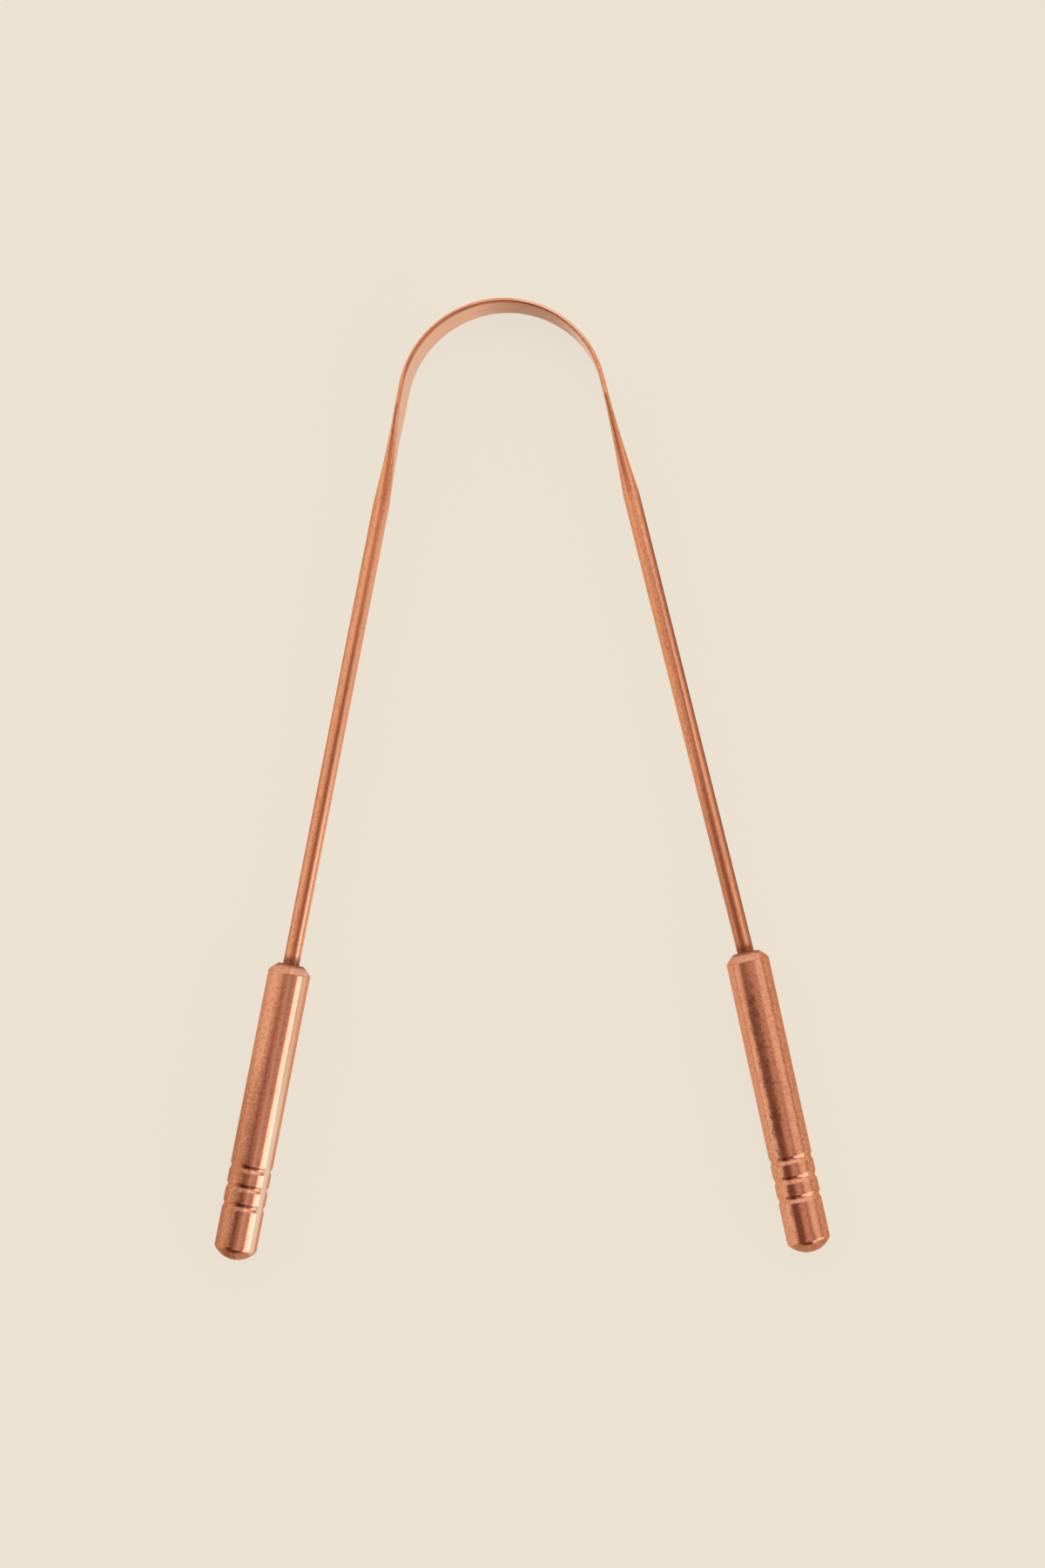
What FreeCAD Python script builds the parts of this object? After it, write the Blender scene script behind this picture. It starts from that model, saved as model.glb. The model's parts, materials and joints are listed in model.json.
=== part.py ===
import FreeCAD, Part
import math
import os

# Copper tongue scraper. One drawn wire is pressed flat over its middle, bent to a bow,
# and each of its round ends is pressed into the bore of a turned handle.
# Millimetres. It lies flat: X to the right, Y from the handles to the bow, Z up.
# The origin is under the middle of the whole tool, on the surface that it lies on.

# Wire
wire_diameter = 2.45
band_thickness = 0.7
band_width = 6.8
bow_radius = 15.35  # centre of the bow to the middle of the band's thickness
arm_spread = 12.25  # degrees between each arm and the tool's middle line
band_run = 2.8  # straight flat stretch from the bow's end to the taper
taper_length = 15.0  # where the flattening fades out into the round rod
taper_stations = 7
taper_power = 1.4  # above 1 the wire leaves the flat band gently and meets the rod in a kink
rod_length = 70.3  # round rod that shows, from the taper to the handle
witness_angle = 4.0  # degrees, half of the arc of round wire where each pressed face starts

# Handles
handle_diameter = 6.3
handle_length = 44.2
top_face_diameter = 3.65
shoulder_height = 1.35
shoulder_bulge = 0.16
groove_count = 3
groove_width = 1.05
groove_depth = 0.21
groove_floor = 0.2  # flat between the two sloped walls of a groove
groove_pitch = 2.8
grooves_to_tip = 8.0  # middle of the lowest groove to the end of the dome
dome_height = 1.7
handle_set = {"left": 0.0, "right": 1.7}  # degrees that each handle sits turned in from its rod

# Seat of the wire in the handle
press_interference = 0.02
bore_depth = 14.0
bore_end_gap = 0.5
drill_point_angle = 118.0
mouth_break = 0.15
cut_overrun = 0.5

side_sign = {"left": -1, "right": 1}
full_turn = 360.0
half_turn = 180.0
origin = FreeCAD.Vector()
along = FreeCAD.Vector(0, 1, 0)
upward = FreeCAD.Vector(0, 0, 1)

wire_radius = wire_diameter / 2
handle_radius = handle_diameter / 2
rod_start = band_run + taper_length
handle_start = rod_start + rod_length
bore_radius = (wire_diameter - press_interference) / 2


def line(start, end):
    return Part.LineSegment(start, end).toShape()


def arc(start, middle, end):
    return Part.Arc(start, middle, end).toShape()


def strip_area(thickness, width):
    """Area of a flat strip with half-round edges."""
    return (width - thickness) * thickness + math.pi * thickness**2 / 4


def strip_section(x, y, thickness, width):
    """Flat strip with half-round edges, standing on edge: thickness along X, width along Z."""
    half = thickness / 2
    flat = (width - thickness) / 2
    outer_low = FreeCAD.Vector(x + half, y, -flat)
    outer_high = FreeCAD.Vector(x + half, y, flat)
    inner_high = FreeCAD.Vector(x - half, y, flat)
    inner_low = FreeCAD.Vector(x - half, y, -flat)
    top = FreeCAD.Vector(x, y, width / 2)
    bottom = FreeCAD.Vector(x, y, -width / 2)
    edges = [
        line(outer_low, outer_high),
        arc(outer_high, top, inner_high),
        line(inner_high, inner_low),
        arc(inner_low, bottom, outer_low),
    ]
    return Part.Wire(edges)


def round_section(x, y):
    """The round wire in four arcs, so that each pressed face grows out of a short arc."""

    def on_wire(degrees):
        turn = math.radians(degrees)
        return FreeCAD.Vector(x + wire_radius * math.cos(turn), y, wire_radius * math.sin(turn))

    corners = [-witness_angle, witness_angle, half_turn - witness_angle, half_turn + witness_angle]
    ends = corners[1:] + [full_turn + corners[0]]
    edges = []
    for start, end in zip(corners, ends):
        edges.append(arc(on_wire(start), on_wire((start + end) / 2), on_wire(end)))
    return Part.Wire(edges)


def lean(shape, side):
    """Turns an arm made along Y out to its spread, about the centre of the bow."""
    shape.rotate(origin, upward, side_sign[side] * arm_spread)
    return shape


def make_bow():
    """The flat strip carried round the bow from the end of one arm to the other."""
    section = Part.Face(strip_section(bow_radius, 0, band_thickness, band_width))
    lean(section, "right")
    return section.revolve(origin, upward, half_turn - 2 * arm_spread)


def make_flat_run(side):
    section = Part.Face(strip_section(side_sign[side] * bow_radius, 0, band_thickness, band_width))
    return lean(section.extrude(along * -band_run), side)


def make_taper(side):
    """The pressed wire thickens to the round rod, and narrows as its metal allows."""
    x = side_sign[side] * bow_radius
    flat_area = strip_area(band_thickness, band_width)
    rod_area = math.pi * wire_radius**2
    sections = []
    for station in range(taper_stations - 1):
        share = station / (taper_stations - 1)
        thickness = band_thickness + share**taper_power * (wire_diameter - band_thickness)
        area = flat_area + share * (rod_area - flat_area)
        width = thickness + (area - math.pi * thickness**2 / 4) / thickness
        y = -(band_run + share * taper_length)
        sections.append(strip_section(x, y, thickness, width))
    sections.append(round_section(x, -rod_start))
    return lean(Part.makeLoft(sections, True, False), side)


def make_scraping_band():
    pieces = []
    for side in side_sign:
        pieces.append(make_flat_run(side))
        pieces.append(make_taper(side))
    return make_bow().multiFuse(pieces).removeSplitter()


def make_rod(side):
    foot = FreeCAD.Vector(side_sign[side] * bow_radius, -rod_start, 0)
    seat_depth = bore_depth - bore_end_gap
    return lean(Part.makeCylinder(wire_radius, rod_length + seat_depth, foot, -along), side)


def revolved(edges):
    return Part.Face(Part.Wire(edges)).revolve(origin, along, full_turn)


def handle_blank():
    """The turned bar: domed shoulder, barrel with sloped grooves, domed end; its top is at zero."""
    top_radius = top_face_diameter / 2
    slope = math.hypot(handle_radius - top_radius, shoulder_height)
    rim = FreeCAD.Vector(top_radius, 0, 0)
    shoulder = FreeCAD.Vector(handle_radius, -shoulder_height, 0)
    outward = FreeCAD.Vector(shoulder_height, handle_radius - top_radius, 0) * (shoulder_bulge / slope)
    edges = [line(origin, rim), arc(rim, (rim + shoulder) / 2 + outward, shoulder)]
    pen = shoulder
    first_groove = handle_length - grooves_to_tip - (groove_count - 1) * groove_pitch
    for index in range(groove_count):
        middle = first_groove + index * groove_pitch
        upper = FreeCAD.Vector(handle_radius, -(middle - groove_width / 2), 0)
        floor_start = FreeCAD.Vector(handle_radius - groove_depth, -(middle - groove_floor / 2), 0)
        floor_end = FreeCAD.Vector(handle_radius - groove_depth, -(middle + groove_floor / 2), 0)
        lower = FreeCAD.Vector(handle_radius, -(middle + groove_width / 2), 0)
        corners = [pen, upper, floor_start, floor_end, lower]
        edges += [line(start, end) for start, end in zip(corners, corners[1:])]
        pen = lower
    dome_radius = (handle_radius**2 + dome_height**2) / (2 * dome_height)
    half_way = math.asin(handle_radius / dome_radius) / 2
    dome_rim = FreeCAD.Vector(handle_radius, -(handle_length - dome_height), 0)
    tip = FreeCAD.Vector(0, -handle_length, 0)
    dome_drop = dome_radius * (1 - math.cos(half_way))
    dome_side = FreeCAD.Vector(dome_radius * math.sin(half_way), dome_drop - handle_length, 0)
    edges += [line(pen, dome_rim), arc(dome_rim, dome_side, tip), line(tip, origin)]
    return revolved(edges)


def bore_cutter():
    """The drilled bore with its pointed end, and a broken edge round its mouth."""
    point = bore_radius / math.tan(math.radians(drill_point_angle / 2))
    mouth_radius = bore_radius + mouth_break + cut_overrun
    outline = [
        FreeCAD.Vector(0, cut_overrun, 0),
        FreeCAD.Vector(mouth_radius, cut_overrun, 0),
        FreeCAD.Vector(bore_radius, -mouth_break, 0),
        FreeCAD.Vector(bore_radius, -bore_depth, 0),
        FreeCAD.Vector(0, -bore_depth - point, 0),
    ]
    edges = [line(start, end) for start, end in zip(outline, outline[1:] + outline[:1])]
    return revolved(edges)


def make_handle(side):
    """A bar on its wire end; the bore follows the rod, and the bar may sit slightly turned on it."""
    bar = handle_blank()
    bar.rotate(origin, upward, -side_sign[side] * handle_set[side])
    handle = bar.cut(bore_cutter())
    handle.translate(FreeCAD.Vector(side_sign[side] * bow_radius, -handle_start, 0))
    return lean(handle, side)


def lay_down(nodes):
    """Puts the origin under the middle of the tool, on the surface that it lies on."""
    box = Part.makeCompound(list(nodes.values())).optimalBoundingBox(False, False)
    rest = FreeCAD.Vector(-box.Center.x, -box.Center.y, -box.ZMin)
    for shape in nodes.values():
        shape.translate(rest)


nodes = {"scraping_band": make_scraping_band()}
for side in side_sign:
    nodes[side + "_rod"] = make_rod(side)
    nodes[side + "_handle"] = make_handle(side)
lay_down(nodes)

os.makedirs("parts", exist_ok=True)
for name, shape in nodes.items():
    shape.exportStep("parts/" + name + ".step")
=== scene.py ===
import json
import math
import bpy
import numpy as np
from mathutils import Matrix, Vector


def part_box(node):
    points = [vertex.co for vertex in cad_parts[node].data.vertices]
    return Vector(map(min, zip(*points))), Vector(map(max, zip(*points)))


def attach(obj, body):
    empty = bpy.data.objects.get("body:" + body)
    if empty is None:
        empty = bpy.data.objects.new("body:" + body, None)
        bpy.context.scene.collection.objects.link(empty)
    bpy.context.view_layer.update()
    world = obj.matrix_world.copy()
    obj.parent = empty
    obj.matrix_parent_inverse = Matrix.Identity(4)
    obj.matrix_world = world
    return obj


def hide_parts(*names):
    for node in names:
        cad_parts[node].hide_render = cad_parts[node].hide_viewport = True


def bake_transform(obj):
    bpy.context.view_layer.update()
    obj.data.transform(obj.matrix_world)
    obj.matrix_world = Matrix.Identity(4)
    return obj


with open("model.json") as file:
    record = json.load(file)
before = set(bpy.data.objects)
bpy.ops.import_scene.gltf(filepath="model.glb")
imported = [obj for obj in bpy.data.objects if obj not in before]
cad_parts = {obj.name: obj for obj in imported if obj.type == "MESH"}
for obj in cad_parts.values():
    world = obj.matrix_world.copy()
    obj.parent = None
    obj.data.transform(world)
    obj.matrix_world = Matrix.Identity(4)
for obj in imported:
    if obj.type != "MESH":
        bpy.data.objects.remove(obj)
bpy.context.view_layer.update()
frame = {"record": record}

MM = 0.001

# Wire, as in the solids
band_thickness = 0.7 * MM
bow_radius = 15.35 * MM
arm_spread = math.radians(12.25)
band_run = 2.8 * MM
taper_length = 15.0 * MM
taper_power = 1.4
rod_length = 70.3 * MM
seat_depth = 13.5 * MM
pressed_angle = math.radians(5.0)  # half of the section's turn that each pressed face takes

# Handles, as in the solids
handle_length = 44.2 * MM
top_radius = 1.825 * MM
shoulder_height = 1.35 * MM
shoulder_bulge = 0.16 * MM
groove_count = 3
groove_width = 1.05 * MM
groove_depth = 0.21 * MM
groove_floor = 0.2 * MM
groove_pitch = 2.8 * MM
grooves_to_tip = 8.0 * MM
dome_height = 1.7 * MM
bore_depth = 14.0 * MM
drill_point_angle = math.radians(118.0)
mouth_break = 0.15 * MM
edge_softness = 0.018 * MM

# Steps of the meshes
bow_steps = 120
taper_steps = 90
rod_steps = 90
pressed_face_steps = 18
round_edge_steps = 30
bar_around = 112
top_face_steps = 4
barrel_steps = 40
tail_steps = 12
dome_steps = 41
close_step = 0.03 * MM
soft_reach = 10 * close_step
ringed_above = 7.0 * MM  # the closely stepped stretch, from the middle of the lowest groove
ringed_below = 1.5 * MM
sharp_angle = math.radians(50.0)

side_sign = {"left": -1.0, "right": 1.0}
mounts = {mount["name"]: mount for mount in frame["record"]["mounts"]}

# Places read from the frame
band_low, band_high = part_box("scraping_band")
rods_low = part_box("left_rod")[0]
rods_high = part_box("right_rod")[1]
wire_radius = (rods_high.z - rods_low.z) / 2
band_width = band_high.z - band_low.z
bow_centre = np.array([
    (rods_low.x + rods_high.x) / 2,
    band_high.y - bow_radius - band_thickness / 2,
    (band_low.z + band_high.z) / 2,
])
half_arc = bow_radius * (math.pi / 2 - arm_spread)
rod_start = half_arc + band_run + taper_length
handle_start = rod_start + rod_length


def smooth_step(low, high, x):
    """0 below low, 1 above high, and 3t^2 - 2t^3 between them."""
    t = np.clip((x - low) / (high - low), 0.0, 1.0)
    return t * t * (3.0 - 2.0 * t)


def between(low, high, edge, x):
    """1 between low and high, falling to 0 over the width of an edge on both sides."""
    return smooth_step(low - edge, low, x) * (1.0 - smooth_step(high, high + edge, x))


def soft_min(a, b, softness):
    """The lesser of two lengths, rounded over where they cross: -k log(e^(-a/k) + e^(-b/k))."""
    return -softness * np.logaddexp(-a / softness, -b / softness)


def add_piece(name, points, faces, material, vectors):
    """A mesh at the origin from whole arrays, with named vectors on its points."""
    mesh = bpy.data.meshes.new(name)
    mesh.from_pydata(points, [], faces)
    mesh.shade_smooth()
    mesh.set_sharp_from_angle(angle=sharp_angle)
    for label, values in vectors.items():
        attribute = mesh.attributes.new(label, "FLOAT_VECTOR", "POINT")
        attribute.data.foreach_set("vector", np.asarray(values, np.float32).ravel())
    mesh.materials.append(material)
    piece = bpy.data.objects.new(name, mesh)
    bpy.context.scene.collection.objects.link(piece)
    return piece


def ring_faces(rings, around):
    """Quads between neighbouring rings of a closed grid, as rows of four point numbers."""
    ring, step = np.meshgrid(np.arange(rings - 1), np.arange(around), indexing="ij")
    here = ring * around + step
    beside = ring * around + (step + 1) % around
    return np.stack([here, beside, beside + around, here + around], -1).reshape(-1, 4)


def fan_faces(first, around, pole, outward):
    """Triangles from one ring to its pole."""
    step = np.arange(around)
    rim = first + step
    beside = first + (step + 1) % around
    tip = np.full(around, pole)
    order = [rim, beside, tip] if outward else [beside, rim, tip]
    return np.stack(order, -1)


def wire_stations():
    """Distances along half the wire: close steps round the bow and down the taper, wider on the rod."""
    bow = np.linspace(0.0, half_arc, bow_steps, endpoint=False)
    taper = np.linspace(half_arc, rod_start, taper_steps, endpoint=False)
    rod = np.linspace(rod_start, handle_start + seat_depth, rod_steps)
    return np.concatenate([bow, taper, rod])


def wire_section(distance):
    """Thickness and width of the pressed wire, and its share of the way from band to rod:
    t = t_band + share^p (d - t_band), while the area goes evenly from the band's to the rod's."""
    share = np.clip((distance - half_arc - band_run) / taper_length, 0.0, 1.0)
    diameter = 2 * wire_radius
    thickness = band_thickness + share**taper_power * (diameter - band_thickness)
    flat_area = (band_width - band_thickness) * band_thickness + math.pi * band_thickness**2 / 4
    area = flat_area + share * (math.pi * wire_radius**2 - flat_area)
    width = thickness + (area - math.pi * thickness**2 / 4) / thickness
    return thickness, width, share


def wire_line(distance, sign):
    """The wire's middle line and outward direction: an arc from the crown of the bow, then a straight arm."""
    turn = np.minimum(distance, half_arc) / bow_radius
    past = np.maximum(distance - half_arc, 0.0)
    outward = np.stack([sign * np.sin(turn), np.cos(turn), 0 * turn], -1)
    along = np.stack([sign * np.cos(turn), -np.sin(turn), 0 * turn], -1)
    return bow_centre + bow_radius * outward + past[:, None] * along, outward


def wire_angles():
    """Angles round the section: each pressed face in steps that close up at its ends, each edge in even steps."""
    reach = np.sin(np.linspace(-math.pi / 2, math.pi / 2, pressed_face_steps, endpoint=False))
    face = np.arcsin(reach * math.sin(pressed_angle))
    edge = np.linspace(pressed_angle, math.pi - pressed_angle, round_edge_steps, endpoint=False)
    half = np.concatenate([face, edge])
    return np.concatenate([half, half + math.pi])


# Wear of the wire, and light painted on it: painted sheen on the band's inner face, the left rod's inner side and
# the bow's outer edge, and painted shade on the bow's left flank, the rods' outer sides and in a dark line along
# each rod. Two lengths are the ends of a smooth step; three are the ends of a stretch and its edge.
# Along is from the crown, to the right above zero, and across is from the wire's middle, outward above zero.
rod_blend = 4.0 * MM
reddened_share = 0.9
reddened_along = (66.0 * MM, 96.0 * MM)
reddened_across = (-0.4 * MM, 0.5 * MM)
# painted sheen: the left rod's inner side made paler
painted_sheen_rod_share = {"left": 0.12, "right": 0.0}
painted_sheen_rod_inward = (0.45 * MM, 0.95 * MM)
# painted sheen: the band's inner face made paler, most on the right flank
painted_sheen_right = (8.0 * MM, 16.0 * MM)
painted_sheen_left = (6.0 * MM, 20.0 * MM)
painted_sheen_left_share = 0.3
# painted highlight: a paler strip on the bow's outer edge, right of the crown
painted_highlight_edge_share = 0.4
painted_highlight_edge_along = (4.0 * MM, 13.0 * MM, 3.0 * MM)
painted_highlight_edge_across = (-0.15 * MM, 0.1 * MM)
crown_share = 0.78
crown_along = (3.0 * MM, 7.0 * MM, 9.0 * MM)
# painted shade: the inner half of the edge on the bow's left flank made darker
flank_share = 0.5
flank_along = (-17.0 * MM, -6.0 * MM, 3.0 * MM)
flank_across = 0.05 * MM
# painted shade: the rods' outer sides made darker, most on the right rod
outer_share = {"left": 0.35, "right": 0.85}
outer_across = (0.55 * MM, 1.15 * MM)
foot_to_mouth = (0.4 * MM, 1.4 * MM)
# painted shade: a dark reflection drawn as a dark line along each rod's lower part
line_share = {"left": 0.68, "right": 0.62}
line_along = (42.0 * MM, 70.0 * MM)
line_across = {"left": -0.32 * MM, "right": 0.26 * MM}
line_width = (-0.06 * MM, 0.06 * MM, 0.14 * MM)
line_drift = 0.32 * MM
line_drift_along = (60.0 * MM, 95.0 * MM)


def wire_wear_and_painted_light(side, along, across, inner_face):
    """Age from -1, paler with painted sheen, to 1, reddened, then the share of stains and painted shade on the
    wire and of a darker inner face at the crown, all products of smooth steps."""
    away = np.abs(along)
    on_rod = smooth_step(rod_start - rod_blend, rod_start + rod_blend, away)
    inner_side = 1.0 - smooth_step(*reddened_across, across)
    reddened = reddened_share * smooth_step(*reddened_along, along) * inner_side
    # painted sheen on the left rod's inner side
    painted_sheen_rod = painted_sheen_rod_share[side] * smooth_step(*painted_sheen_rod_inward, -across) * on_rod
    # painted sheen on the band's inner face
    painted_sheen_band = smooth_step(*painted_sheen_right, along)
    painted_sheen_band = painted_sheen_band + painted_sheen_left_share * smooth_step(*painted_sheen_left, -along)
    # painted highlight on the bow's outer edge
    painted_highlight_edge = painted_highlight_edge_share * between(*painted_highlight_edge_along, along) * smooth_step(*painted_highlight_edge_across, across)
    # darker inner face at the crown
    crown = crown_share * between(*crown_along, along) * inner_face
    # painted shade on the inner half of the left flank's edge
    flank = flank_share * between(*flank_along, along) * (across < flank_across)
    # painted shade on the rods' outer sides
    painted_shade_outer_side = outer_share[side] * smooth_step(*outer_across, across) * on_rod
    foot = 1.0 - smooth_step(*foot_to_mouth, handle_start - away)
    # painted shade: the dark line along each rod
    line_middle = line_across[side] - line_drift * smooth_step(*line_drift_along, along)
    painted_dark_line = line_share[side] * smooth_step(*line_along, away) * between(*line_width, across - line_middle)
    age = np.where(inner_face, -painted_sheen_band, reddened - painted_sheen_rod - painted_highlight_edge)
    round_painted_shade = np.where(inner_face, 0.0, np.maximum(flank, painted_dark_line))
    stain_and_shade = np.maximum(np.maximum(painted_shade_outer_side, foot), round_painted_shade)
    return np.stack([age, stain_and_shade, crown], -1)


def make_wire(side, material):
    """Half the wire: a strip with half-round edges carried along the middle line until it is the round rod.
    Across = t/2 cos a, up = f clip(sin a / sin b) + t/2 sin a, f half the flat and b where the flat ends."""
    sign = side_sign[side]
    distance = wire_stations()
    angle = wire_angles()
    thickness, width, share = wire_section(distance)
    middle, outward = wire_line(distance, sign)
    flat = ((width - thickness) / 2)[:, None]
    half_thick = thickness[:, None] / 2
    rise = np.sin(angle) / math.sin(pressed_angle)
    reach = np.clip(rise, -1.0, 1.0)
    across = half_thick * np.cos(angle)
    up = flat * reach + half_thick * np.sin(angle)
    points = middle[:, None, :] + across[..., None] * outward[:, None, :]
    points[..., 2] += up
    rings, around = across.shape
    faces = ring_faces(rings, around)
    if sign > 0:
        faces = faces[:, ::-1]
    first_cap = np.arange(around)
    last_cap = first_cap + (rings - 1) * around
    caps = [first_cap, last_cap[::-1]] if sign > 0 else [first_cap[::-1], last_cap]
    all_faces = faces.tolist() + [cap.tolist() for cap in caps]
    along = np.broadcast_to(sign * distance[:, None], across.shape)
    edge_turn = np.arcsin(np.abs(np.sin(angle))) - pressed_angle
    on_face = np.abs(rise) < 1.0
    into_face = np.where(on_face, flat * (1.0 - np.abs(reach)), -half_thick * edge_turn)
    vectors = {
        "drawn_way": np.stack([across, up, along], -1),
        "pressing": np.stack([into_face, np.broadcast_to(share[:, None], across.shape), 0 * across], -1),
        "wear": wire_wear_and_painted_light(side, along, across, on_face & (np.cos(angle) < 0)),
    }
    wire = add_piece(side + "_wire", points.reshape(-1, 3), all_faces, material, vectors)
    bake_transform(wire)
    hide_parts("scraping_band", side + "_rod")


def handle_outline(radius):
    """Outside of the bar as radius over depth: bulged shoulder, barrel and dome softly cut together, and
    grooves whose walls rise in a straight slope from a flat floor to the barrel."""
    lowest_groove = handle_length - grooves_to_tip
    upper = np.arange(0.0, shoulder_height + soft_reach, close_step)
    barrel = np.linspace(upper[-1] + close_step, lowest_groove - ringed_above, barrel_steps)
    ringed = np.arange(barrel[-1] + close_step, lowest_groove + ringed_below, close_step)
    tail = np.linspace(ringed[-1] + close_step, handle_length - dome_height - soft_reach, tail_steps)
    depth = np.concatenate([upper, barrel, ringed, tail])
    slope = np.clip(depth / shoulder_height, 0.0, 2.0)
    bulge = 4 * shoulder_bulge * slope * (1 - slope)
    shoulder = top_radius + (radius - top_radius) * slope + bulge
    outside = soft_min(np.full_like(depth, radius), shoulder, edge_softness)
    wall_slope = groove_depth / ((groove_width - groove_floor) / 2)
    for index in range(groove_count):
        middle = lowest_groove - index * groove_pitch
        wall = (np.abs(depth - middle) - groove_floor / 2) * wall_slope
        cut = radius - groove_depth - soft_min(-wall, 0 * wall, edge_softness)
        outside = soft_min(outside, cut, edge_softness)
    dome_radius = (radius**2 + dome_height**2) / (2 * dome_height)
    turn = np.linspace(0.0, math.pi / 2, dome_steps, endpoint=False)
    dome_outside = radius * np.cos(turn)
    dome_depth = handle_length - dome_radius + np.sqrt(dome_radius**2 - dome_outside**2)
    return np.concatenate([outside, dome_outside]), np.concatenate([depth, dome_depth])


# Wear of both handles, and light painted on them, in lengths from the top of the bar
shoulder_lightening = 0.08
shoulder_along = (shoulder_height - 0.1 * MM, shoulder_height)
dome_along = (handle_length - dome_height - 0.1 * MM, handle_length - dome_height + 0.4 * MM)
dome_age = 0.4
dome_brown = 0.3
mouth_brown = 0.75
mouth_along = (0.1 * MM, 0.6 * MM)
rim_brown = 0.3
rim_along = (shoulder_height - 0.02 * MM, shoulder_height + 0.06 * MM, 0.08 * MM)

# Wear of the left handle, with painted highlight in lines on its inner side and painted shade down its middle and
# on its outer edge. Outward is across the bar, away from the other handle, and inward the other way.
left_low_along = (9.0 * MM, 26.0 * MM)
left_red_share = 0.8
left_red_outward = (-0.3 * MM, 1.6 * MM)
# painted highlight: paler lines on the inner side, where the handle reflects the soft box
left_painted_highlights = [  # share, its gain on the lower part, and the stretch inward
    (0.12, 0.0, (1.8 * MM, 2.8 * MM, 0.2 * MM)),
    (0.2, 0.45, (2.5 * MM, 2.85 * MM, 0.2 * MM)),
    (0.2, 0.0, (0.75 * MM, 1.05 * MM, 0.1 * MM)),
]
left_blot_share = 0.3
left_blot_outward = (-0.5 * MM, 0.6 * MM, 0.3 * MM)
# painted shade with tarnish: brown down the middle of the left handle
left_core_start = (-0.7 * MM, -0.5 * MM)
left_core_end = (0.3 * MM, 1.3 * MM)
left_core_drift = 0.5 * MM
left_core_brown = 0.16
left_core_gain = 0.27
left_core_along = (10.0 * MM, 30.0 * MM)
# painted shade: brown on the outer edge of the left handle
left_edge_brown = 0.14
left_edge_outward = (2.2 * MM, 2.8 * MM)

# Wear of the right handle, with painted shade in its brown patches
right_red_share = 0.6
right_red_outward = (1.6 * MM, 2.9 * MM)
right_upper_along = (8.0 * MM, 23.0 * MM, 7.0 * MM)
right_upper_outward = (-1.3 * MM, -0.2 * MM, 0.8 * MM)
right_lower_along = (26.0 * MM, 41.0 * MM, 4.0 * MM)
right_lower_outward = (-1.7 * MM, -0.7 * MM, 0.7 * MM)
right_lower_share = 0.7
right_brown = 0.12


def left_wear_and_painted_light(outward, along):
    """Reddened on the outer side, paler in lines on the inner side as painted highlight, brown down the middle as
    painted shade with tarnish, and brown on the outer edge as painted shade.
    """
    low = smooth_step(*left_low_along, along)
    age = left_red_share * low * smooth_step(*left_red_outward, outward)
    # painted highlight: paler lines on the inner side
    for share, gain, stretch in left_painted_highlights:
        age = age - (share + gain * low) * between(*stretch, -outward)
    blotched = left_blot_share * low * between(*left_blot_outward, outward)
    # painted shade with tarnish down the middle
    core = smooth_step(*left_core_start, outward)
    core = core * (1.0 - smooth_step(*left_core_end, outward - left_core_drift * low))
    brown = (left_core_brown + left_core_gain * smooth_step(*left_core_along, along)) * core
    # painted shade on the outer edge
    brown = brown + left_edge_brown * (1.0 + low) * smooth_step(*left_edge_outward, outward)
    return age, blotched, brown


def right_wear_and_painted_light(outward, along):
    """Reddened on the outer side, and blotched brown in an upper and a lower patch, which are tarnish blots and
    painted shade.
    """
    age = right_red_share * smooth_step(*right_red_outward, outward)
    # painted shade with tarnish blots in the two patches
    upper = between(*right_upper_along, along) * between(*right_upper_outward, outward)
    lower = between(*right_lower_along, along) * between(*right_lower_outward, outward)
    return age, upper + right_lower_share * lower, right_brown * (upper + lower)


def handle_wear_and_painted_light(side, outward, along):
    """Age from -1, paler, to 1, reddened, then the shares of blotches and of brown, all products of
    smooth steps: the shoulders are lighter, the domes and the mouths brown, and each bar has its own places, where
    the paler lines are painted highlight and part of the brown is painted shade."""
    # the shoulder made a little lighter
    shoulder = shoulder_lightening * (1.0 - smooth_step(*shoulder_along, along))
    dome = smooth_step(*dome_along, along)
    mouth = mouth_brown * (1.0 - smooth_step(*mouth_along, along)) + rim_brown * between(*rim_along, along)
    own_wear_and_painted_light = left_wear_and_painted_light if side == "left" else right_wear_and_painted_light
    age, blotched, brown = own_wear_and_painted_light(outward, along)
    return np.stack([age - shoulder + dome_age * dome, blotched, np.maximum(brown, mouth) + dome_brown * dome], -1)


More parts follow.
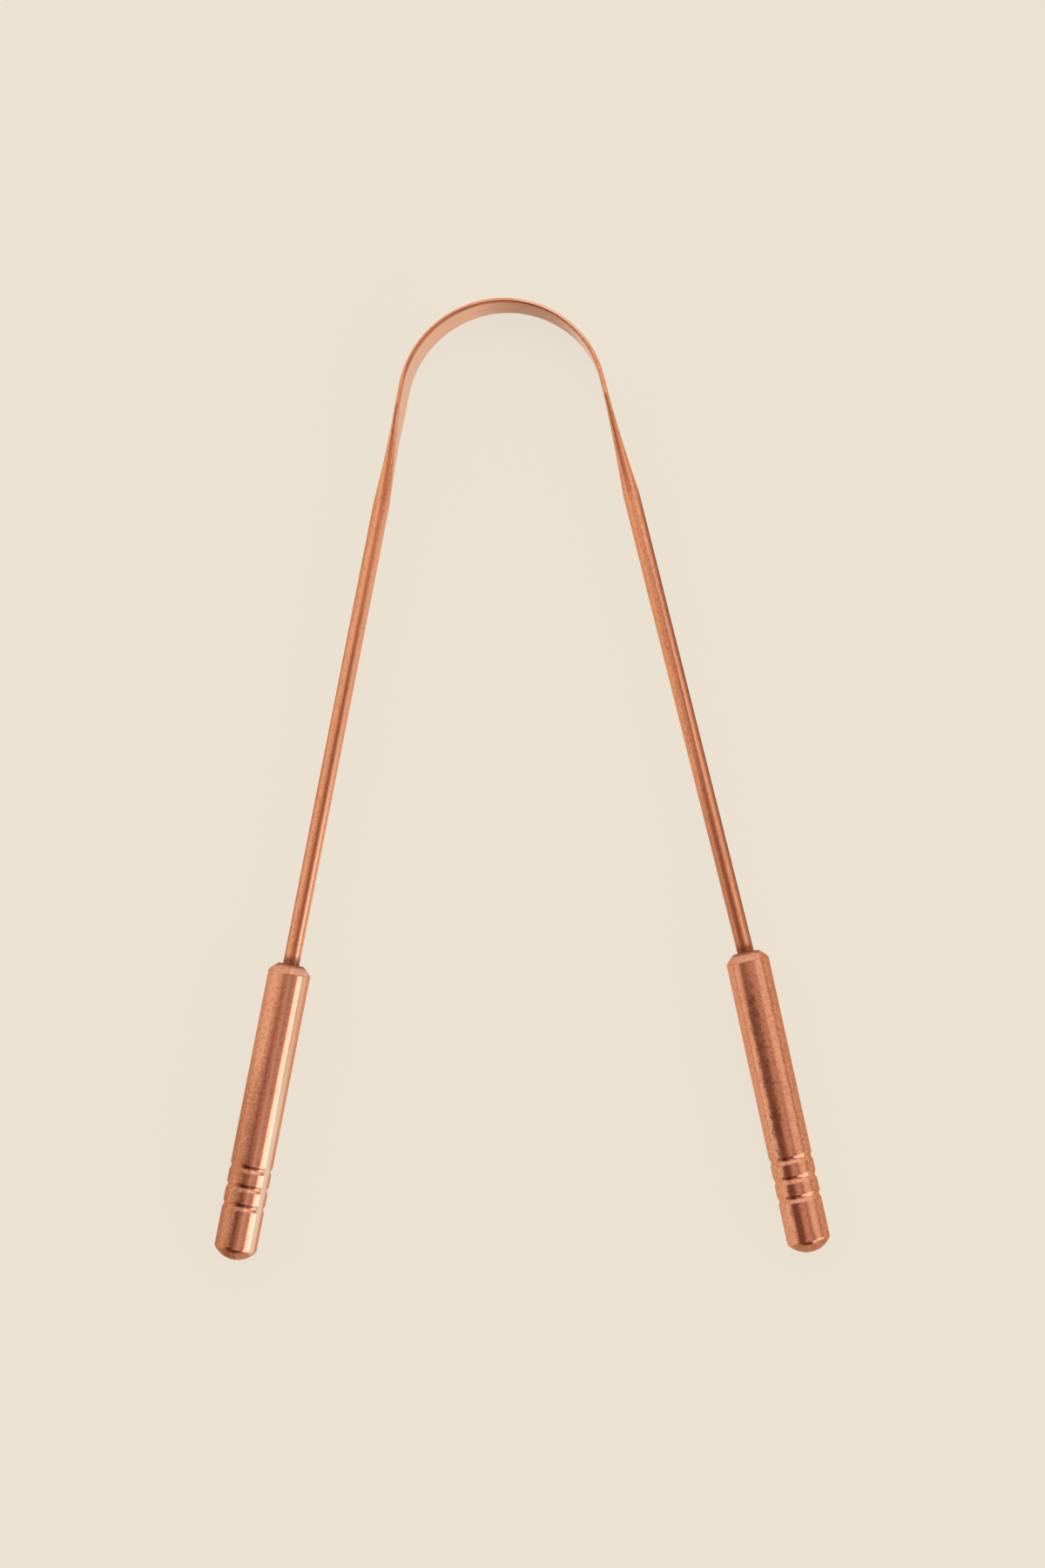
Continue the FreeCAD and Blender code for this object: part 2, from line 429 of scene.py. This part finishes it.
def make_handle(side, material):
    """A turned bar: its outline revolved about its axis, with the bore, which follows the rod, let into its top.
    Point = top + depth axis + r cos a beside + r sin a up."""
    sign = side_sign[side]
    grip = mounts[side + "_grip"]
    radius = grip["dims"]["r_mm"] * MM
    way = np.array(grip["axis"], float)
    top = np.array(grip["pos_m"]) - way * (shoulder_height + grip["dims"]["length_mm"] * MM / 2)
    rod_way = np.array([sign * math.sin(arm_spread), -math.cos(arm_spread), 0.0])
    outside, depth = handle_outline(radius)
    point_depth = bore_depth + wire_radius / math.tan(drill_point_angle / 2)
    mouth_radius = wire_radius + mouth_break
    bore_outside = np.array([wire_radius / 2, wire_radius, wire_radius, mouth_radius])
    bore_depths = np.array([(bore_depth + point_depth) / 2, bore_depth, mouth_break, 0.0])
    face_outside = np.linspace(mouth_radius, top_radius, top_face_steps, endpoint=False)[1:]
    ring_outside = np.concatenate([bore_outside, face_outside, outside])
    ring_depth = np.concatenate([bore_depths, 0 * face_outside, depth])
    in_bore = np.arange(ring_outside.size) < bore_outside.size
    axis = np.where(in_bore[:, None], rod_way, way)
    beside = np.stack([-axis[:, 1], axis[:, 0], 0 * axis[:, 0]], -1)
    angle = np.linspace(0.0, 2 * math.pi, bar_around, endpoint=False)
    points = top + ring_depth[:, None, None] * axis[:, None, :]
    points = points + (ring_outside[:, None] * np.cos(angle))[..., None] * beside[:, None, :]
    points[..., 2] += ring_outside[:, None] * np.sin(angle)
    rings = ring_outside.size
    poles = np.stack([top + point_depth * rod_way, top + handle_length * way])
    all_points = np.concatenate([points.reshape(-1, 3), poles])
    first_pole = rings * bar_around
    faces = ring_faces(rings, bar_around).tolist()
    faces += fan_faces(0, bar_around, first_pole, False).tolist()
    faces += fan_faces(first_pole - bar_around, bar_around, first_pole + 1, True).tolist()
    outward_way = sign * np.array([-way[1], way[0], 0.0])
    offset = all_points - top
    turned = np.stack([offset @ outward_way, offset @ way, offset[:, 2]], -1)
    vectors = {"turned_way": turned, "wear": handle_wear_and_painted_light(side, turned[:, 0], turned[:, 1])}
    handle = add_piece(side + "_turned_handle", all_points, faces, material, vectors)
    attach(handle, side + "_arm")
    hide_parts(side + "_handle")


class Shade:
    """One socket of a node tree; arithmetic on it adds Math nodes."""

    def __init__(self, tree, socket=None):
        self.tree = tree
        self.socket = socket

    def node(self, kind, settings=(), inputs=(), output=0):
        """Adds a node of any type: its settings first, then the values or links of its sockets."""
        made = self.tree.nodes.new(kind)
        for name, value in dict(settings).items():
            if name == "stops":
                self.set_stops(made.color_ramp.elements, value)
            else:
                setattr(made, name, value)
        for name, value in dict(inputs).items():
            if isinstance(value, Shade):
                self.tree.links.new(value.socket, made.inputs[name])
            else:
                made.inputs[name].default_value = value
        return Shade(self.tree, made.outputs[output] if made.outputs else None)

    @staticmethod
    def set_stops(elements, stops):
        while len(elements) < len(stops):
            elements.new(1.0)
        for element, (place, colour) in zip(elements, stops):
            element.position = place
            element.color = (*colour, 1.0)

    def math(self, operation, *values):
        return self.node("ShaderNodeMath", {"operation": operation}, dict(enumerate(values)))

    def __add__(self, other):
        return self.math("ADD", self, other)

    def __sub__(self, other):
        return self.math("SUBTRACT", self, other)

    def __rsub__(self, other):
        return self.math("SUBTRACT", other, self)

    def __mul__(self, other):
        return self.math("MULTIPLY", self, other)

    __radd__ = __add__
    __rmul__ = __mul__

    def attribute(self, name):
        """A named vector of the mesh."""
        return self.node("ShaderNodeAttribute", {"attribute_name": name}, {}, "Vector")

    def part(self, letter):
        """One component of a vector."""
        return self.node("ShaderNodeSeparateXYZ", {}, {"Vector": self}, letter)

    def noise(self, cells, detail=3.0, roughness=0.5):
        """Noise from 0 to 1, with so many cells per metre of each component of this vector."""
        way = self.node("ShaderNodeVectorMath", {"operation": "MULTIPLY"}, {0: self, 1: cells})
        sockets = {"Vector": way, "Scale": 1.0, "Detail": detail, "Roughness": roughness}
        return self.node("ShaderNodeTexNoise", {}, sockets)

    def rise(self, low, high):
        """0 below low, 1 above high and smooth between them."""
        sockets = {"Value": self, "From Min": low, "From Max": high}
        return self.node("ShaderNodeMapRange", {"interpolation_type": "SMOOTHSTEP"}, sockets)

    def near(self, middle, low, high):
        """1 within low of the middle, 0 beyond high from it and smooth between them."""
        return 1 - self.math("ABSOLUTE", self - middle).rise(low, high)

    def towards(self, colour, other, share):
        """One colour mixed towards another by a share."""
        sockets = {0: share, 6: colour, 7: other}
        return self.node("ShaderNodeMix", {"data_type": "RGBA"}, sockets, 2)


def new_material(name):
    material = bpy.data.materials.new(name)
    material.use_nodes = True
    material.node_tree.nodes.clear()
    return material, Shade(material.node_tree)


# Colours of the metal
fresh_copper = (0.84, 0.40, 0.245, 1.0)
drawn_copper_tone = (0.88, 0.39, 0.215, 1.0)
aged_copper = (0.60, 0.235, 0.13, 1.0)
pressed_copper = (0.93, 0.64, 0.51, 1.0)
# paler copper: painted sheen on the band's inner face, the left rod's inner side and the bow's outer edge, painted
# highlight on the left handle, and lighter shoulders
pale_copper = (0.98, 0.83, 0.74, 1.0)
# brown of tarnish, pits, lines and the press line, and painted shade on the rods, the bow's left flank and the
# handles
tarnish_and_shade_brown = (0.24, 0.082, 0.042, 1.0)
# darker colour of the band's inner face at the crown
crown_dark_colour = (0.42, 0.225, 0.15, 1.0)
drawn_edge_tint = (0.97, 0.8, 0.7, 1.0)
turned_edge_tint = (0.9, 0.68, 0.56, 1.0)

# Patterns of the wire, in cells per metre across it, up and along it
drawn_lines = (3400.0, 3400.0, 45.0)
drawn_streaks = (1200.0, 1200.0, 30.0)
drawn_cloud = (400.0, 400.0, 150.0)
drawn_grain = (3200.0, 3200.0, 2000.0)
drawn_pits = (1500.0, 1500.0, 500.0)
drawn_relief = 0.008 * MM

# Ends of the pressed face: shares of the taper, and lengths into the face from its edge
press_fade = (0.75, 1.0)
press_edge = (-0.02 * MM, 0.06 * MM)
press_line_start = (-0.16 * MM, -0.03 * MM)
press_line_end = (0.03 * MM, 0.17 * MM)

# Patterns of the bars, in cells per metre across them, along them and up
turned_rings = (60.0, 5000.0, 60.0)
turned_wipes = (1500.0, 120.0, 1500.0)
turned_cloud = (420.0, 200.0, 420.0)
turned_blots = (1400.0, 900.0, 1400.0)
turned_grain = (2300.0, 2300.0, 2300.0)
turned_relief = 0.006 * MM
cut_end_along = (shoulder_height - 0.1 * MM, shoulder_height + 0.05 * MM)


def finish_copper(shade, colour, edge_tint, roughness, height, depth):
    """Bare metal of that colour, with that tint towards its edges and a fine relief of that depth."""
    relief = shade.node("ShaderNodeBump", {}, {"Height": height, "Distance": depth, "Strength": 1.0})
    sockets = {"Base Color": colour, "Metallic": 1.0, "Roughness": roughness, "Normal": relief}
    sockets["Specular Tint"] = edge_tint
    surface = shade.node("ShaderNodeBsdfPrincipled", {}, sockets)
    shade.node("ShaderNodeOutputMaterial", {}, {"Surface": surface})


def make_drawn_copper():
    """Drawn wire: fine lines along it, paler and duller where it was pressed, and a dark line where the
    press ended. Painted sheen and painted shade come in through the mesh's vectors."""
    material, shade = new_material("drawn_copper_wire")
    way = shade.attribute("drawn_way")
    pressing = shade.attribute("pressing")
    wear = shade.attribute("wear")
    into_face = pressing.part("X")
    flattened = 1 - pressing.part("Y").rise(*press_fade)
    pressed = into_face.rise(*press_edge) * flattened
    press_line = into_face.rise(*press_line_start) * (1 - into_face.rise(*press_line_end)) * flattened
    lines = way.noise(drawn_lines, 4.0, 0.65)
    streaks = way.noise(drawn_streaks, 2.0)
    cloud = way.noise(drawn_cloud)
    grain = way.noise(drawn_grain, 3.0, 0.6)
    pits = way.noise(drawn_pits).rise(0.72, 0.78)
    age_and_sheen = wear.part("X")
    age = age_and_sheen + lines * 2.2 + streaks + cloud * 0.4 + grain * 3.2 - 3.3
    colour = shade.towards(drawn_copper_tone, aged_copper, age)
    colour = shade.towards(colour, tarnish_and_shade_brown, lines.rise(0.6, 0.8) * 0.4)
    colour = shade.towards(colour, pressed_copper, pressed * (1.05 - cloud * 0.3 - grain * 0.2))
    # paler copper: painted sheen on the band and the left rod, and painted highlight on the bow's outer edge
    colour = shade.towards(colour, pale_copper, 0 - age_and_sheen)
    # brown at the foot, and painted shade on the rods' outer sides, along each rod and on the bow's left flank
    stain_and_shade = wear.part("Y") * (lines * 0.5 + grain * 0.5 + 0.45)
    colour = shade.towards(colour, tarnish_and_shade_brown, stain_and_shade)
    # darker inner face at the crown
    colour = shade.towards(colour, crown_dark_colour, wear.part("Z") * (lines * 0.6 + cloud * 0.6 + 0.4))
    colour = shade.towards(colour, tarnish_and_shade_brown, press_line * (lines * 0.5 + 0.5))
    colour = shade.towards(colour, tarnish_and_shade_brown, pits * 0.8)
    roughness = lines * 0.1 + grain * 0.1 + pressed * 0.14 + stain_and_shade * 0.1 + 0.13
    height = lines * 0.6 + grain * 0.3 - pits * 0.8
    finish_copper(shade, colour, drawn_edge_tint, roughness, height, drawn_relief)
    return material


def make_turned_copper():
    """Turned bar: faint rings, a satin grain, a cloudy bloom of age, blots of brown that are partly painted shade,
    paler lines of painted highlight and a duller cut end.
    """
    material, shade = new_material("turned_copper_bar")
    way = shade.attribute("turned_way")
    wear = shade.attribute("wear")
    rings = way.noise(turned_rings, 3.0, 0.6)
    wipes = way.noise(turned_wipes)
    cloud = way.noise(turned_cloud, 4.0, 0.55)
    blots = way.noise(turned_blots, 4.0, 0.65)
    grain = way.noise(turned_grain, 4.0, 0.65)
    cut_end = 1 - way.part("Y").rise(*cut_end_along)
    age_and_sheen = wear.part("X")
    age = age_and_sheen + cloud * 0.9 + wipes * 0.4 + grain * 3.8 - 2.4
    stain_and_shade = (blots + wear.part("Y") * 0.34 + grain * 0.5).rise(0.97, 1.23)
    colour = shade.towards(fresh_copper, aged_copper, age)
    # paler copper: painted highlight on the left handle's inner side, and lighter shoulders
    colour = shade.towards(colour, pale_copper, 0 - age_and_sheen)
    # brown blots, with painted shade in the right handle's patches
    colour = shade.towards(colour, tarnish_and_shade_brown, stain_and_shade * 0.72)
    # brown at the mouths, rims and domes, and painted shade with tarnish on the left handle and in the right
    # handle's patches
    colour = shade.towards(colour, tarnish_and_shade_brown, wear.part("Z") * (grain * 0.8 + wipes * 1.2))
    roughness = grain * 0.08 + wipes * 0.03 + stain_and_shade * 0.12 + cut_end * 0.3 + 0.09
    height = rings * 0.35 + grain * 0.5 + wipes * 0.2
    finish_copper(shade, colour, turned_edge_tint, roughness, height, turned_relief)
    return material


# Stage and light
floor_colour = (0.831, 0.761, 0.651, 1.0)
floor_glow = (0.875, 0.806, 0.693, 1.0)
even_share = 0.86
floor_half = 3.0
room_stops = [
    (0.0, (0.03, 0.02, 0.017)),
    (0.3, (0.3, 0.17, 0.15)),
    (0.6, (0.6, 0.44, 0.385)),
    (0.9, (0.9, 0.824, 0.744)),
    (1.0, (1.0, 0.95, 0.87)),
]
left_wall_level = 0.84
far_end_level = 0.97
near_end_share = 0.4
key_place = (0.391, -0.335, 0.175)
key_aim = (0.0, -0.073, 0.175)
key_size = (0.54, 0.34)
key_level = 1.25
key_colour = (0.78, 0.92, 1.0)

# Camera, fitted to the outline in the photo
camera_place = (0.041540, -0.038889, 0.411983)
camera_turn = (5.03985, 5.6364, -1.37775)  # degrees
camera_lens = 63.868
camera_sensor = 36.0


def make_floor():
    """A wide pale floor; what the eye and the metal see of it is nearly even, and it keeps a soft shadow."""
    material, shade = new_material("cream_floor")
    ray = "ShaderNodeLightPath"
    seen = shade.node(ray, {}, {}, "Is Camera Ray") + shade.node(ray, {}, {}, "Is Glossy Ray")
    seen = shade.math("MINIMUM", seen + shade.node(ray, {}, {}, "Is Transmission Ray"), 1.0)
    matt = shade.node("ShaderNodeBsdfDiffuse", {}, {"Color": floor_colour})
    even = shade.node("ShaderNodeEmission", {}, {"Color": floor_glow, "Strength": 1.0})
    surface = shade.node("ShaderNodeMixShader", {}, {0: seen * even_share, 1: matt, 2: even})
    shade.node("ShaderNodeOutputMaterial", {}, {"Surface": surface})
    corners = [(x * floor_half, y * floor_half, 0.0) for x, y in ((-1, -1), (1, -1), (1, 1), (-1, 1))]
    mesh = bpy.data.meshes.new("floor")
    mesh.from_pydata(corners, [], [(0, 1, 2, 3)])
    mesh.materials.append(material)
    floor = bpy.data.objects.new("floor", mesh)
    bpy.context.scene.collection.objects.link(floor)


def make_room():
    """A dim warm room. Lean is the angle from overhead to the right and tip the angle towards the bow, in
    degrees: walls to both sides, a pale end beyond the bow, a dim end behind the handles, and a dark strip
    and a dark line overhead."""
    world = bpy.data.worlds.new("warm_room")
    bpy.context.scene.world = world
    world.use_nodes = True
    world.node_tree.nodes.clear()
    shade = Shade(world.node_tree)
    way = shade.node("ShaderNodeTexCoord", {}, {}, "Generated")
    lean = shade.math("DEGREES", shade.math("ARCTAN2", way.part("X"), way.part("Z")))
    tip = shade.math("DEGREES", shade.math("ARCSINE", way.part("Y")))

    past_left_wall = lean.rise(-60.0, -10.0)
    left_half = 1 - lean.rise(-10.0, 25.0)
    right_half = lean.rise(25.0, 45.0)
    right_wall = lean.rise(62.0, 95.0)
    ceiling = lean.rise(-50.0, -20.0) * (1 - lean.rise(40.0, 60.0))
    towards_bow = tip.rise(5.0, 14.0)
    level = left_wall_level - past_left_wall * (0.22 - towards_bow * 0.18)
    level = level + left_half * tip.rise(-4.0, 0.0) * 0.09
    level = level + right_half * tip.rise(-8.0, 4.0) * (0.27 - towards_bow * 0.12)
    level = level + right_wall * (0.38 - tip.rise(-4.0, 6.0) * 0.8)
    level = level + ceiling * tip.rise(10.0, 13.0) * 0.16

    from_strip = shade.math("ABSOLUTE", lean + 32 - tip.rise(-9.0, 11.0) * 45)
    strip = 1 - (from_strip + tip.rise(-6.0, 10.0) * 12).rise(12.0, 27.0)
    strip_end = 1 - tip.rise(10.5, 13.5)
    strip_depth = (0.7 - tip.rise(-8.0, 2.0) * 0.48 + tip.rise(5.0, 9.0) * 0.5) * strip_end
    level = level * (1 - strip * strip_depth)
    line = lean.near(34.0, 5.0, 17.0) * tip.rise(-9.0, -6.0) * (1 - tip.rise(0.0, 3.0))
    level = level * (1 - line * 0.5)
    glint = lean.near(-75.0, 4.0, 12.0) * (1 - tip.rise(-11.0, -8.0))
    level = level + glint * 0.15

    level = level * (near_end_share + tip.rise(-50.0, -22.0) * (1 - near_end_share))
    level = level + (far_end_level - level) * tip.rise(26.0, 48.0)
    colour = shade.node("ShaderNodeValToRGB", {"stops": room_stops}, {"Fac": level}, "Color")
    back = shade.node("ShaderNodeBackground", {}, {"Color": colour, "Strength": 1.0})
    shade.node("ShaderNodeOutputWorld", {}, {"Surface": back})


def add_lamp(name, place, aim, size, level, colour):
    """A soft box whose face is about as bright as its level, where 1 is white."""
    data = bpy.data.lights.new(name, "AREA")
    data.shape = "RECTANGLE"
    data.size, data.size_y = size
    data.energy = level * math.pi * size[0] * size[1]
    data.color = colour
    lamp = bpy.data.objects.new(name, data)
    bpy.context.scene.collection.objects.link(lamp)
    lamp.location = place
    lamp.rotation_euler = (Vector(aim) - Vector(place)).to_track_quat("-Z", "Y").to_euler()


def make_camera():
    data = bpy.data.cameras.new("camera")
    data.sensor_fit = "AUTO"
    data.sensor_width = camera_sensor
    data.lens = camera_lens
    camera = bpy.data.objects.new("camera", data)
    camera.location = camera_place
    camera.rotation_euler = [math.radians(turn) for turn in camera_turn]
    bpy.context.scene.collection.objects.link(camera)
    bpy.context.scene.camera = camera


drawn_copper = make_drawn_copper()
turned_copper = make_turned_copper()
for arm in side_sign:
    make_wire(arm, drawn_copper)
    make_handle(arm, turned_copper)

make_floor()
make_room()
add_lamp("key_softbox", key_place, key_aim, key_size, key_level, key_colour)
make_camera()
bpy.context.scene.view_settings.view_transform = "Standard"
